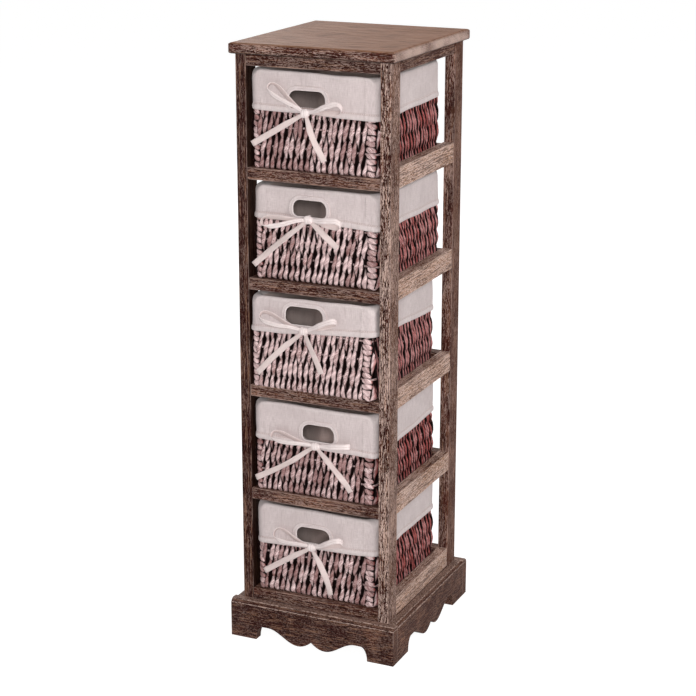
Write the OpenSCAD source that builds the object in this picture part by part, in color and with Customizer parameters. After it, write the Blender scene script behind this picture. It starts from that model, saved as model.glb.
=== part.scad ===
// Narrow shelf unit with five pull-out baskets in a post-and-rail frame on a scalloped plinth.
// The origin is on the floor under the middle of the unit. +Z is up and the front faces -Y.
// Shelves and baskets are numbered from the top down.

/* [Overall] */
// Height from the floor to the top of the board
unit_h = 900; // [760:1:1100]
// Width of the top board, side to side
board_w = 256; // [220:1:320]
// Depth of the top board, front to back
board_d = 284; // [250:1:340]
// Thickness of the top board
board_t = 16; // [14:1:24]
// Radius that rounds the board's edges
board_edge_r = 6.5; // [2:0.5:6.5]
// Radius of the board's corners, seen from above
board_corner_r = 7; // [3:0.5:20]
// How far the board reaches past the posts on each side
overhang = 9; // [4:1:20]

/* [Posts, rails and aprons] */
// Width of a post, seen from the front
post_w = 16; // [15:1:24]
// Depth of a post, seen from the side
post_d = 30; // [24:1:40]
// Thickness of the rails and aprons
rail_t = 15; // [12:1:16]
// How far the rails and aprons lie back from the outer faces of the posts
setback = 1; // [0:0.5:2]
// Height of the front rails
rail_h = 17; // [14:1:24]
// Height of the rear rails, which stop the baskets
rear_rail_h = 22; // [19:1:34]
// Height of the side rails, which guide the baskets
side_rail_h = 30; // [28:1:44]
// Height of the aprons under the board
apron_h = 16; // [12:1:24]

/* [Shelf panels] */
// Thickness of a shelf panel
panel_t = 5; // [3:0.5:6]
// Width of the rebate in a front rail that the panel lies in
rebate = 8; // [4:0.5:9]
// Depth of the grooves in the other rails that the panel slides into
groove = 5; // [3:0.5:7]

/* [Plinth] */
// Height of the plinth boards
plinth_h = 60; // [54:1:90]
// Thickness of the plinth boards
plinth_t = 15; // [13:1:20]
// Width of a foot on a plinth board
foot_w = 42; // [30:1:60]
// Height of the arches beside the feet
arch_h = 22; // [12:1:30]
// Height of the floor gap under the two scallops
scallop_gap = 2; // [1:0.5:6]
// Height of the pointed notch between the scallops
notch_h = 12; // [6:0.5:20]
// Radius of the moulding along the top edge
mould_r = 4; // [2:0.5:6]
// Width of the narrow steps beside that moulding
mould_step = 1; // [0.5:0.5:2]

/* [Dowels and screws] */
// Diameter of a dowel
dowel_d = 6; // [5:0.5:8]
// Length of a dowel inside a rail
dowel_in_rail = 15; // [10:1:24]
// Length of a dowel inside a post
dowel_in_post = 11; // [8:1:13]
// Height of the dowels above the underside of a front or rear rail
dowel_low = 6; // [4:0.5:7]
// Height of the dowels above the underside of a side rail
dowel_high = 23; // [21:0.5:26]
// Diameter of a screw's shank
screw_d = 3.5; // [3:0.5:4.5]
// Length of a screw with its head
screw_l = 25; // [20:1:27]
// Diameter of a screw's head
head_d = 7; // [6:0.5:9]
// Height of a screw's head
head_h = 2.4; // [1.5:0.1:3]
// Distance of the board screws from the middle of each apron
board_screw_x = 60; // [30:1:80]

/* [Baskets] */
// Room beside a basket's cuff, on each side
side_clear = 4.5; // [3:0.5:12]
// Room above a basket
head_clear = 8; // [4:0.5:30]
// How far a closed basket's front lies behind the front of the posts
recess = 4; // [0:0.5:20]
// Room between a closed basket and the rear rail
back_gap = 20; // [2:1:60]
// Thickness of the woven walls and floor
weave_t = 6; // [5:0.5:9]
// Radius of the upright corners of the weave
weave_corner_r = 14; // [12:1:24]
// Radius that rounds the lower edges of the weave
weave_low_r = 6; // [3:0.5:10]
// Diameter of the frame wire
wire_d = 3; // [2.5:0.5:4]
// Width of the grip hole in the front wall
grip_w = 54; // [40:1:80]
// Height of the grip hole
grip_h = 28; // [20:1:32]
// Height of the grip hole above the lower edge of the cuff
grip_up = 10; // [6:1:14]
// Corner radius at the top of the grip hole
grip_top_r = 12; // [6:0.5:14]
// Corner radius at the foot of the grip hole
grip_low_r = 6; // [3:0.5:9]

/* [Liners and bows] */
// Thickness of the liner cloth
cloth_t = 1.5; // [1:0.1:2.5]
// Depth of the cuff that hangs over the outside
cuff_h = 55; // [50:1:70]
// Height of the sewn hem along the cuff's lower edge
hem_h = 9; // [6:1:14]
// Extra thickness of the sewn hem
hem_t = 0.8; // [0.5:0.1:1.5]
// Width of the tape
tape_w = 7; // [5:0.5:10]
// Thickness of the folded tape
tape_t = 1.4; // [1:0.1:2.5]
// Width of a bow's loop at its round end
loop_w = 17; // [14:1:22]
// Width of a bow's knot
knot_w = 12; // [9:1:16]
// Height of a bow's knot
knot_h = 10; // [8:1:14]

/* [Where each basket stands, top to bottom] */
// How far each basket is pulled out
basket_pull = [1, 0, 8, 2, 0];
// How far each basket stands to the right
basket_shift = [0, 1.5, -2, -1.5, -0.5];
// How far each grip hole lies right of the basket's middle
grip_shift = [-10, -9, -14, 7, -4];

/* [Hidden] */
// Number of shelves, each with its basket
shelves = 5;
levels = [1:shelves];

// Clearances: cloth and baskets lie on their seats, wood joints are a push fit
fit_gap = 0.2;
rest_gap = 0.3;
wire_gap = 0.1;
dowel_gap = 0.05;
dowel_room = 1;
screw_gap = 0.1;
head_gap = 0.3;
screw_tip = 3;
cut = 1;

// Frame
frame_w = board_w - 2*overhang;
frame_d = board_d - 2*overhang;
half_w = frame_w/2;
half_d = frame_d/2;
open_w = frame_w - 2*post_w;
open_d = frame_d - 2*post_d;
rail_in_x = half_w - setback - rail_t;
rail_in_y = half_d - setback - rail_t;
rail_mid_x = rail_in_x + rail_t/2;
rail_mid_y = rail_in_y + rail_t/2;
board_z = unit_h - board_t;
apron_z = board_z - apron_h;
bay_h = (apron_z - plinth_h - shelves*rail_h)/shelves;
pitch = bay_h + rail_h;
function rail_z(k) = plinth_h + (shelves - k)*pitch;
function shelf_z(k) = rail_z(k) + rail_h;

// Screws in the plinth: the pair that runs across and the pair that runs front to back
across_screw_z = [0.23*plinth_h, 0.77*plinth_h];
along_screw_z = [0.4*plinth_h, 0.6*plinth_h];
screw_grip = post_w;

// Basket, from its outside in: hem, cuff, weave, frame wire, bag
basket_w = open_w - 2*side_clear;
basket_d = half_d - recess + rail_in_y - back_gap;
basket_h = bay_h - head_clear;
basket_y = -half_d + recess + basket_d/2;
weave_w = basket_w - 2*(hem_t + cloth_t + rest_gap);
weave_d = basket_d - 2*(hem_t + cloth_t + rest_gap);
weave_h = basket_h - cloth_t - rest_gap - wire_d - wire_gap;
hem_z = basket_h - cuff_h;
grip_z = hem_z + grip_up;
low_wire_in = weave_t + wire_gap + wire_d/2;
weld = 0.3;
rim_wire_in = low_wire_in - wire_d + weld;
bag_in = rim_wire_in + wire_d/2 + rest_gap;
bag_corner_r = weave_corner_r + 2;
bind_t = 1.2;

// Bows: each row gives one bow's points, right and up from its knot
knot_shift = [-5, 0, -3, -6, -1];
knot_up = 2;
left_loop = [[-56, 34], [-64, -3], [-62, 15], [-64, 10], [-60, 13]];
right_loop = [[55, 13], [50, 3], [50, 18], [52, 8], [48, 18]];
left_tail = [[-78, -46], [-72, -56], [-68, -62], [-80, -52], [-72, -46]];
right_tail = [[35, -62], [44, -33], [29, -58], [56, -58], [32, -62]];

dark_wood = [0.34, 0.25, 0.23];
top_wood = [0.53, 0.41, 0.35];
panel_wood = [0.38, 0.29, 0.25];
peg_wood = [0.80, 0.66, 0.48];
steel = [0.72, 0.72, 0.74];
husk = [0.56, 0.42, 0.42];
linen = [0.86, 0.83, 0.80];

$fn = 48;

// Rectangle with round corners, about its middle
module rounded_rect(w, d, r) {
    square([w - 2*r, d], center = true);
    square([w, d - 2*r], center = true);
    for (x = [-1, 1], y = [-1, 1])
        translate([x*(w/2 - r), y*(d/2 - r)]) circle(r);
}

// Dowels along X, from a front (-1) or rear (1) rail into the posts at the given ends
module cross_dowels(side, z, ends, r, room) {
    for (x = ends)
        translate([x*(open_w/2 + (dowel_in_post - dowel_in_rail)/2), side*rail_mid_y, z])
            rotate([0, 90, 0]) cylinder(r = r, h = dowel_in_post + dowel_in_rail + 2*room, center = true);
}

// Dowels along Y, from a left (-1) or right (1) rail into the posts at the given ends
module long_dowels(side, z, ends, r, room) {
    for (y = ends)
        translate([side*rail_mid_x, y*(open_d/2 + (dowel_in_post - dowel_in_rail)/2), z])
            rotate([90, 0, 0]) cylinder(r = r, h = dowel_in_post + dowel_in_rail + 2*room, center = true);
}

// Drilled holes for those dowels
module cross_holes(side, z, ends = [-1, 1]) {
    cross_dowels(side, z, ends, dowel_d/2 + dowel_gap, dowel_room);
}

module long_holes(side, z, ends = [-1, 1]) {
    long_dowels(side, z, ends, dowel_d/2 + dowel_gap, dowel_room);
}

// Screw driven along +Z, with the top of its head at the origin
module screw() {
    cylinder(d = head_d, h = head_h);
    cylinder(d = screw_d, h = screw_l - screw_tip);
    translate([0, 0, screw_l - screw_tip]) cylinder(d1 = screw_d, d2 = 0.8, h = screw_tip);
}

// Room for a screw, with a counterbore that starts the given depth before the head
module screw_hole(bore = cut) {
    translate([0, 0, -bore]) cylinder(d = head_d + 2*head_gap, h = bore + head_h);
    cylinder(d = screw_d + 2*screw_gap, h = screw_l + cut);
}

// Places on a post for the screws into the side board of the plinth
module at_across_screws(x, y) {
    for (z = across_screw_z)
        translate([x*open_w/2, y*(half_d - post_d/2), z]) rotate([0, x*90, 0]) children();
}

// Places on a post for the screws into the front or rear board of the plinth
module at_along_screws(x, y) {
    for (z = along_screw_z)
        translate([x*(half_w - post_w/2), y*(half_d - screw_grip), z]) rotate([-y*90, 0, 0]) children();
}

// Places under an apron for the screws into the board
module at_board_screws_x(y) {
    for (x = [-1, 1])
        translate([x*board_screw_x, y*rail_mid_y, apron_z]) children();
}

module at_board_screws_y(x) {
    for (y = [-1, 1])
        translate([x*rail_mid_x, y*board_screw_x, apron_z]) children();
}

module top_board() color(top_wood) difference() {
    translate([0, 0, board_z + board_t/2]) intersection() {
        linear_extrude(board_t, center = true) rounded_rect(board_w, board_d, board_corner_r);
        rotate([90, 0, 0]) linear_extrude(board_d, center = true)
            rounded_rect(board_w, board_t, board_edge_r);
        rotate([90, 0, 90]) linear_extrude(board_w, center = true)
            rounded_rect(board_d, board_t, board_edge_r);
    }
    for (side = [-1, 1]) {
        at_board_screws_x(side) screw_hole();
        at_board_screws_y(side) screw_hole();
    }
}

// One corner post, at x = -1 or 1 and y = -1 or 1
module post(x, y) color(dark_wood) difference() {
    translate([x*(half_w - post_w/2), y*(half_d - post_d/2), board_z/2])
        cube([post_w, post_d, board_z], center = true);
    for (k = levels) {
        cross_holes(y, rail_z(k) + dowel_low, [x]);
        long_holes(x, rail_z(k) + dowel_high, [y]);
    }
    cross_holes(y, apron_z + apron_h/2, [x]);
    long_holes(x, apron_z + apron_h/2, [y]);
    at_across_screws(x, y) screw_hole();
    at_along_screws(x, y) screw_hole(post_d);
}

module front_apron(side) color(dark_wood) difference() {
    translate([-open_w/2, side*rail_mid_y - rail_t/2, apron_z]) cube([open_w, rail_t, apron_h]);
    cross_holes(side, apron_z + apron_h/2);
    at_board_screws_x(side) screw_hole();
}

module side_apron(side) color(dark_wood) difference() {
    translate([side*rail_mid_x - rail_t/2, -open_d/2, apron_z]) cube([rail_t, open_d, apron_h]);
    long_holes(side, apron_z + apron_h/2);
    at_board_screws_y(side) screw_hole();
}

// Front rail of shelf k, with a rebate that the panel drops into
module front_rail(k) color(dark_wood) difference() {
    translate([-open_w/2, -rail_mid_y - rail_t/2, rail_z(k)]) cube([open_w, rail_t, rail_h]);
    translate([-open_w/2 - cut, -rail_in_y - rebate, shelf_z(k) - panel_t])
        cube([open_w + 2*cut, rebate + cut, panel_t + cut]);
    cross_holes(-1, rail_z(k) + dowel_low);
}

// Rear rail of shelf k, grooved for the panel, with a lip that stops the basket
module rear_rail(k) color(dark_wood) difference() {
    translate([-open_w/2, rail_mid_y - rail_t/2, rail_z(k)]) cube([open_w, rail_t, rear_rail_h]);
    translate([-open_w/2 - cut, rail_in_y - cut, shelf_z(k) - panel_t])
        cube([open_w + 2*cut, groove + cut, panel_t + fit_gap]);
    cross_holes(1, rail_z(k) + dowel_low);
}

// Left (-1) or right (1) rail of shelf k, grooved for the panel
module side_rail(k, side) color(dark_wood) difference() {
    translate([side*rail_mid_x - rail_t/2, -open_d/2, rail_z(k)]) cube([rail_t, open_d, side_rail_h]);
    translate([side*(rail_in_x + groove/2 - cut/2), 0, shelf_z(k) - panel_t/2 + fit_gap/2])
        cube([groove + cut, open_d + 2*cut, panel_t + fit_gap], center = true);
    long_holes(side, rail_z(k) + dowel_high);
}

// Panel of shelf k: its corners are notched round the posts
module shelf_panel(k) color(panel_wood)
    translate([0, 0, shelf_z(k) - panel_t]) linear_extrude(panel_t) {
        translate([-open_w/2 + fit_gap, -rail_in_y - rebate + fit_gap])
            square([open_w - 2*fit_gap, 2*rail_in_y + rebate + groove - 2*fit_gap]);
        square([2*(rail_in_x + groove - fit_gap), open_d - 2*fit_gap], center = true);
    }

// Height of a plinth board's lower edge at distance x from its middle, where u is half the gap
// between the feet: a notch, a scallop and a smooth rise to the arch
function scallop_x(u) = 0.24*u;
function arch_x(u) = 0.78*u;
function lower_edge(x, u) =
    x < scallop_x(u) ? scallop_gap + (notch_h - scallop_gap)*pow(1 - x/scallop_x(u), 2) :
    x < arch_x(u) ? scallop_gap + (arch_h - scallop_gap)
        *(1 - cos(180*(x - scallop_x(u))/(arch_x(u) - scallop_x(u))))/2 :
    arch_h;

// Right half of that edge, from the notch to the foot, whose inner side is a quarter of an ellipse
foot_curve = 11;
edge_steps = 16;
arc_steps = 6;
function edge_points(u) = concat(
    [for (i = [0:edge_steps]) let (x = i/edge_steps*arch_x(u)) [x, lower_edge(x, u)]],
    [for (i = [0:arc_steps]) let (a = 90*i/arc_steps) [u - foot_curve*(1 - sin(a)), arch_h*cos(a)]]
);

// Face of a plinth board of the given length, standing on y = 0
module plinth_face(length) {
    u = length/2 - foot_w;
    half = edge_points(u);
    last = len(half) - 1;
    polygon(concat(
        [[-length/2, plinth_h], [-length/2, 0]],
        [for (i = [last:-1:1]) [-half[i][0], half[i][1]]],
        half,
        [[length/2, 0], [length/2, plinth_h]]
    ));
}

// Section of a plinth board, from its back at x = 0: a quarter round between two narrow steps
module plinth_section() {
    polygon(concat(
        [[0, 0], [plinth_t, 0], [plinth_t, plinth_h - mould_r - mould_step]],
        [for (i = [0:arc_steps]) let (a = 90*i/arc_steps)
            [plinth_t - mould_step - mould_r*(1 - cos(a)), plinth_h - mould_step - mould_r*(1 - sin(a))]],
        [[plinth_t - mould_step - mould_r, plinth_h], [0, plinth_h]]
    ));
}

// Plinth board along X with its back on the plane y = 0, facing -Y
module plinth_board(length) {
    intersection() {
        rotate([90, 0, 0]) linear_extrude(plinth_t) plinth_face(length);
        rotate([90, 0, -90]) linear_extrude(length, center = true) plinth_section();
    }
}

// Front (-1) or rear (1) board of the plinth: it covers the ends of the side boards
module plinth_cross(side) color(dark_wood) difference() {
    rotate([0, 0, side < 0 ? 0 : 180]) translate([0, -half_d, 0]) plinth_board(frame_w + 2*plinth_t);
    for (x = [-1, 1]) at_along_screws(x, side) screw_hole();
}

// Left (-1) or right (1) board of the plinth
module plinth_side(side) color(dark_wood) difference() {
    rotate([0, 0, side*90]) translate([0, -half_w, 0]) plinth_board(frame_d);
    for (y = [-1, 1]) at_across_screws(side, y) screw_hole();
}

module dowels() color(peg_wood) {
    for (side = [-1, 1]) {
        for (k = levels) {
            cross_dowels(side, rail_z(k) + dowel_low, [-1, 1], dowel_d/2, 0);
            long_dowels(side, rail_z(k) + dowel_high, [-1, 1], dowel_d/2, 0);
        }
        cross_dowels(side, apron_z + apron_h/2, [-1, 1], dowel_d/2, 0);
        long_dowels(side, apron_z + apron_h/2, [-1, 1], dowel_d/2, 0);
    }
}

module screws() color(steel) {
    for (x = [-1, 1], y = [-1, 1]) {
        at_across_screws(x, y) screw();
        at_along_screws(x, y) screw();
    }
    for (side = [-1, 1]) {
        at_board_screws_x(side) screw();
        at_board_screws_y(side) screw();
    }
}

// Place of basket k, whose own origin is under its middle
module at_basket(k) {
    translate([basket_shift[k - 1], basket_y - basket_pull[k - 1], shelf_z(k) + rest_gap]) children();
}

// Upright prism over the weave's outline, let in by the given distance, from height z0 to z1
module basket_prism(let_in, corner_r, z0, z1) {
    translate([0, 0, z0]) linear_extrude(z1 - z0)
        rounded_rect(weave_w - 2*let_in, weave_d - 2*let_in, corner_r);
}

// Grip hole through the front wall of basket k, larger all round by grow
module grip_hole(k, grow) {
    w = grip_w + 2*grow;
    h = grip_h + 2*grow;
    top_r = grip_top_r + grow;
    low_r = grip_low_r + grow;
    depth = 4*(weave_t + cloth_t);
    translate([grip_shift[k - 1], -basket_d/2 + depth/2, grip_z - grow])
        rotate([90, 0, 0]) linear_extrude(depth + 2*cut, center = true) {
            translate([-w/2, low_r]) square([w, h - top_r - low_r]);
            translate([-w/2 + top_r, 0]) square([w - 2*top_r, h]);
            translate([-w/2 + low_r, 0]) square([w - 2*low_r, h - top_r]);
            for (x = [-1, 1]) {
                translate([x*(w/2 - top_r), h - top_r]) circle(top_r);
                translate([x*(w/2 - low_r), low_r]) circle(low_r);
            }
        }
}

// Profile with round lower corners, standing on y = 0
module tub_profile(w) {
    translate([-w/2, weave_low_r]) square([w, weave_h - weave_low_r]);
    translate([-w/2 + weave_low_r, 0]) square([w - 2*weave_low_r, weave_h]);
    for (x = [-1, 1]) translate([x*(w/2 - weave_low_r), weave_low_r]) circle(weave_low_r);
}

// Woven tub of basket k, with a groove in its floor for the lower wire
module basket_weave(k) color(husk) at_basket(k) difference() {
    intersection() {
        basket_prism(0, weave_corner_r, 0, weave_h);
        rotate([90, 0, 0]) linear_extrude(weave_d, center = true) tub_profile(weave_w);
        rotate([90, 0, 90]) linear_extrude(weave_w, center = true) tub_profile(weave_d);
    }
    basket_prism(weave_t, weave_corner_r - weave_t, weave_t, weave_h + cut);
    difference() {
        basket_prism(weave_t, weave_corner_r - weave_t, weave_t - wire_d - wire_gap, weave_t + cut);
        basket_prism(weave_t + wire_d + 2*wire_gap, weave_corner_r - weave_t - wire_d - 2*wire_gap, 0, weave_h);
    }
    grip_hole(k, bind_t + rest_gap);
}

// Ring of wire round the basket at height z, let in by the given distance
module wire_ring(let_in, z) {
    r = weave_corner_r - let_in;
    x_mid = weave_w/2 - weave_corner_r;
    y_mid = weave_d/2 - weave_corner_r;
    for (i = [0:3]) {
        sx = i == 0 || i == 3 ? 1 : -1;
        sy = i < 2 ? 1 : -1;
        translate([sx*x_mid, sy*y_mid, z]) rotate([0, 0, 90*i])
            rotate_extrude(angle = 90) translate([r, 0]) circle(d = wire_d);
    }
    for (s = [-1, 1]) {
        translate([0, s*(y_mid + r), z]) rotate([0, 90, 0]) cylinder(d = wire_d, h = 2*x_mid, center = true);
        translate([s*(x_mid + r), 0, z]) rotate([90, 0, 0]) cylinder(d = wire_d, h = 2*y_mid, center = true);
    }
}

// Welded wire frame of basket k: a ring in the floor, four uprights and a ring on the rim
module basket_wire(k) color(steel) at_basket(k) {
    low_z = weave_t - wire_d/2;
    rim_z = weave_h + wire_gap + wire_d/2;
    reach = (weave_corner_r - low_wire_in)/sqrt(2);
    wire_ring(low_wire_in, low_z);
    wire_ring(rim_wire_in, rim_z);
    for (x = [-1, 1], y = [-1, 1])
        translate([x*(weave_w/2 - weave_corner_r + reach), y*(weave_d/2 - weave_corner_r + reach), low_z])
            cylinder(d = wire_d, h = rim_z - low_z + wire_d/2);
}

// Cloth liner of basket k: an inner bag that folds over the rim into a cuff with a sewn hem
module basket_liner(k) color(linen) at_basket(k) difference() {
    outside = -rest_gap - cloth_t;
    cuff_r = weave_corner_r - outside;
    bag_z = weave_t + fit_gap;
    union() {
        difference() {
            union() {
                basket_prism(outside, cuff_r, hem_z, basket_h);
                basket_prism(outside - hem_t, cuff_r + hem_t, hem_z, hem_z + hem_h);
            }
            basket_prism(-rest_gap, weave_corner_r + rest_gap, hem_z - cut, basket_h - cloth_t);
        }
        basket_prism(bag_in, bag_corner_r, bag_z, basket_h);
        intersection() {
            grip_hole(k, bind_t);
            translate([-weave_w/2, -weave_d/2 - rest_gap - cloth_t, 0])
                cube([weave_w, rest_gap + 2*cloth_t + bag_in, weave_h]);
        }
    }
    basket_prism(bag_in + cloth_t, bag_corner_r - cloth_t, bag_z + cloth_t, basket_h + cut);
    grip_hole(k, 0);
}

// Flat loop of tape from the knot to a round end, at p from the knot
module tape_loop(p) {
    linear_extrude(tape_t) difference() {
        hull() {
            circle(d = knot_h - 2);
            translate(p) circle(d = loop_w);
        }
        hull() {
            translate(0.45*p) circle(d = 1);
            translate(p) circle(d = loop_w - 2*tape_w + 3);
        }
    }
}

// Loose end of tape from the knot to p, cut off square
module tape_tail(p) {
    length = norm(p);
    rotate([0, 0, atan2(p[1], p[0])]) translate([0, -tape_w/2, 0]) cube([length, tape_w, tape_t]);
}

// Tape bow of basket k, tied on the hem under the grip hole
module basket_bow(k) color(linen) at_basket(k)
    translate([grip_shift[k - 1] + knot_shift[k - 1], -basket_d/2 - fit_gap, hem_z + knot_up])
        rotate([90, 0, 0]) {
            tape_tail(left_tail[k - 1]);
            tape_tail(right_tail[k - 1]);
            translate([0, 0, tape_t]) tape_loop(left_loop[k - 1]);
            translate([0, 0, tape_t]) tape_loop(right_loop[k - 1]);
            linear_extrude(3*tape_t) rounded_rect(knot_w, knot_h, 3);
        }

top_board();
post(-1, -1);  // post_front_left
post(1, -1);  // post_front_right
post(-1, 1);  // post_rear_left
post(1, 1);  // post_rear_right
front_apron(-1);  // apron_front
front_apron(1);  // apron_rear
side_apron(-1);  // apron_left
side_apron(1);  // apron_right
for (k = levels) {
    front_rail(k);
    rear_rail(k);
    side_rail(k, -1);
    side_rail(k, 1);
    shelf_panel(k);
}
plinth_cross(-1);  // plinth_front
plinth_cross(1);  // plinth_rear
plinth_side(-1);  // plinth_left
plinth_side(1);  // plinth_right
dowels();
screws();
for (k = levels) {
    basket_weave(k);
    basket_wire(k);
    basket_liner(k);
    basket_bow(k);
}
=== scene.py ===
import math

import bpy
import numpy as np
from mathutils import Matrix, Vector, noise


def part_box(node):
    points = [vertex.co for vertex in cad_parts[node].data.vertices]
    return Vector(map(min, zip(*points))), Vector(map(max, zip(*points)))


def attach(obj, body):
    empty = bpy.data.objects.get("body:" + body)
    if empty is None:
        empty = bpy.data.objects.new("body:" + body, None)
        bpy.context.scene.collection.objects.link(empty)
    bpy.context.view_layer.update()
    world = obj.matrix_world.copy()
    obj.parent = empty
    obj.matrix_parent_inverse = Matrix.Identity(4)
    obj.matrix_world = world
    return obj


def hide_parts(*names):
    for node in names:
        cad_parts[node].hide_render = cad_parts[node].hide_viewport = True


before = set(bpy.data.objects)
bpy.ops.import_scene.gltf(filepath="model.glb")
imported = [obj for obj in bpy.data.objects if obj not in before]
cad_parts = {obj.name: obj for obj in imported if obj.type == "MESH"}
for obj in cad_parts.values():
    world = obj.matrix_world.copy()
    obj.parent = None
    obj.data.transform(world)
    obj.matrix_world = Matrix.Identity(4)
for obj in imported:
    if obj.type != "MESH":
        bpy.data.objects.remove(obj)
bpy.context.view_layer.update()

mm = 0.001
shelves = range(1, 6)


def say(stage):
    print("shelf unit:", stage)


# Shader kit: sums on sockets read as plain Python


def tone(red, green, blue):
    # a colour as picked on a screen, 0 to 255, in the linear light that shaders use
    parts = [value / 255 for value in (red, green, blue)]
    return tuple(p / 12.92 if p <= 0.04 else ((p + 0.055) / 1.055) ** 2.4 for p in parts)


class Feed:
    # wraps one output socket
    def __init__(self, bench, socket):
        self.bench = bench
        self.socket = socket

    def __add__(self, other):
        return self.bench.sum("ADD", self, other)

    def __radd__(self, other):
        return self.bench.sum("ADD", other, self)

    def __sub__(self, other):
        return self.bench.sum("SUBTRACT", self, other)

    def __rsub__(self, other):
        return self.bench.sum("SUBTRACT", other, self)

    def __mul__(self, other):
        return self.bench.sum("MULTIPLY", self, other)

    def __rmul__(self, other):
        return self.bench.sum("MULTIPLY", other, self)

    def __abs__(self):
        return self.bench.sum("ABSOLUTE", self)

    def least(self, other):
        return self.bench.sum("MINIMUM", self, other)

    def most(self, other):
        return self.bench.sum("MAXIMUM", self, other)

    def ramp(self, low, high):
        # 0 below low, 1 above high and smooth between, or the other way round
        flip = low > high
        share = self.bench.make(
            "MapRange",
            {"interpolation_type": "SMOOTHSTEP"},
            {"Value": self, "From Min": min(low, high), "From Max": max(low, high)},
        )
        return 1 - share if flip else share


class Bench:
    # builds one node tree, of a material or of the world
    def __init__(self, owner):
        owner.use_nodes = True
        self.owner = owner
        self.tree = owner.node_tree
        self.tree.nodes.clear()

    def make(self, kind, settings=None, values=None, out=0):
        # any node: its settings first, then the values or links of its sockets
        node = self.tree.nodes.new("ShaderNode" + kind)
        for name, value in (settings or {}).items():
            setattr(node, name, value)
        for name, value in (values or {}).items():
            self.plug(node.inputs[name], value)
        return Feed(self, node.outputs[out]) if len(node.outputs) else node

    def plug(self, socket, value):
        if isinstance(value, Feed):
            self.tree.links.new(value.socket, socket)
        elif socket.type == "RGBA" and len(value) == 3:
            socket.default_value = (*value, 1)
        elif socket.type == "VECTOR" and isinstance(value, (int, float)):
            socket.default_value = (value,) * 3
        else:
            socket.default_value = value

    def sum(self, operation, *terms):
        # numbers go through Math, vectors through Vector Math and colours through Mix
        kinds = [term.socket.type for term in terms if isinstance(term, Feed)]
        if "RGBA" in kinds:
            return self.mix(1, *terms, blend=operation)
        node = "VectorMath" if "VECTOR" in kinds else "Math"
        return self.make(node, {"operation": operation}, dict(enumerate(terms)))

    def mix(self, share, first, second, blend="MIX"):
        settings = {"data_type": "RGBA", "blend_type": blend}
        return self.make("Mix", settings, {0: share, 6: first, 7: second}, out=2)

    def grain(self, where, scale, detail=3, rough=0.55, bend=0):
        values = {"Vector": where, "Scale": scale, "Detail": detail, "Roughness": rough}
        return self.make("TexNoise", {}, {**values, "Distortion": bend})

    def parts(self, vector):
        split = self.make("SeparateXYZ", {}, {0: vector})
        return [Feed(self, output) for output in split.socket.node.outputs]

    def attribute(self, name):
        return self.make("Attribute", {"attribute_name": name}, out="Vector")

    def surface(self, values, height=None, depth=0.0):
        # the one shader of a finish, with its relief in metres
        shader = self.make("BsdfPrincipled", {}, values)
        if height is not None:
            bump = self.make("Bump", {}, {"Height": height, "Distance": depth, "Strength": 1.0})
            self.plug(shader.socket.node.inputs["Normal"], bump)
        self.make("OutputMaterial", {}, {"Surface": shader})
        return self.owner


def finish(name):
    return Bench(bpy.data.materials.new(name))


# Wood: brushed open grain with lime left in it, worn lighter along the edges, with light and shade painted by
# the way each face looks

woodLook = {
    "deep": tone(8, 2, 1),
    "dark": tone(48, 15, 10),
    "brown": tone(98, 51, 40),
    "warm": tone(126, 68, 34),
    "lime": tone(214, 188, 177),
    "side": tone(86, 50, 35),
    "top": tone(146, 102, 76),
    "pale": tone(164, 122, 98),
    "rail": tone(186, 146, 121),
    "shift": (7.3, 1.7, -3.1),  # moves the grain from one piece to the next
    "wear": (1.4 * mm, -0.3 * mm),  # from unworn to worn, by distance from an edge
    "flank": 80 * mm,  # pieces further than this from the middle have an inner side
    "relief": 0.5 * mm,
}
mouldLook = {"steps": (0.6, 5.2), "core": 0.3 * mm, "fade": 0.8 * mm}  # steps lie below a plinth board's top
# how each group departs from that: share of lime and of dark pores, fine speckle, smooth tops painted lighter
# as if lit from above, brown outer sides painted as they look in side light and how plain those are, warm
# patches, how much darker its ground is, which for the front and rear rails, the apron and the shelf panels
# is painted shade under the board and the baskets, and by how much its grain is drawn out along the piece,
# where 0.1 is tenfold
groupTerms = ("lime", "pores", "speckle", "tops", "sides", "plain", "glow", "gloom", "short")
woodGroups = {
    "post": (0.4, 0.75, 0.5, 0.4, 0.8, 0.25, 0.3, 0.3, 0.1),
    "darkPost": (0.2, 0.9, 0.5, 0.4, 0.5, 0.4, 0.3, 1.0, 0.1),
    "palePost": (0.85, 0.9, 0.5, 0.4, 0.9, 0.25, 0.35, 0.3, 0.1),
    "rail": (0.36, 0.85, 0.6, 0.15, 0.4, 0.3, 0.4, 0.5, 0.1),
    "sideRail": (1.25, 0.65, 0.7, 0.5, 0.9, 0.0, 0.1, 0.1, 0.1),
    "apron": (0.38, 0.85, 0.7, 0.4, 0.3, 0.2, 0.1, 0.7, 0.1),
    "plinth": (0.2, 1.0, 1.0, 0.3, 0.5, 0.1, 0.5, 1.0, 0.2),
    "board": (0.55, 0.85, 0.6, 1.0, 0.0, 0.0, 0.35, 0.1, 0.1),
    "panel": (0.2, 0.6, 0.4, 0.1, 0.5, 0.5, 0.4, 0.6, 0.1),
}


def edgeDistance(bench, here, low, high):
    # distance from the nearest edge of a piece: the middle one of the distances to its faces
    away = bench.sum("ABSOLUTE", here - tuple((low + high) / 2))
    a, b, c = bench.parts(tuple((high - low) / 2) - away)
    return a.least(b).most(a.most(b).least(c))


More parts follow.
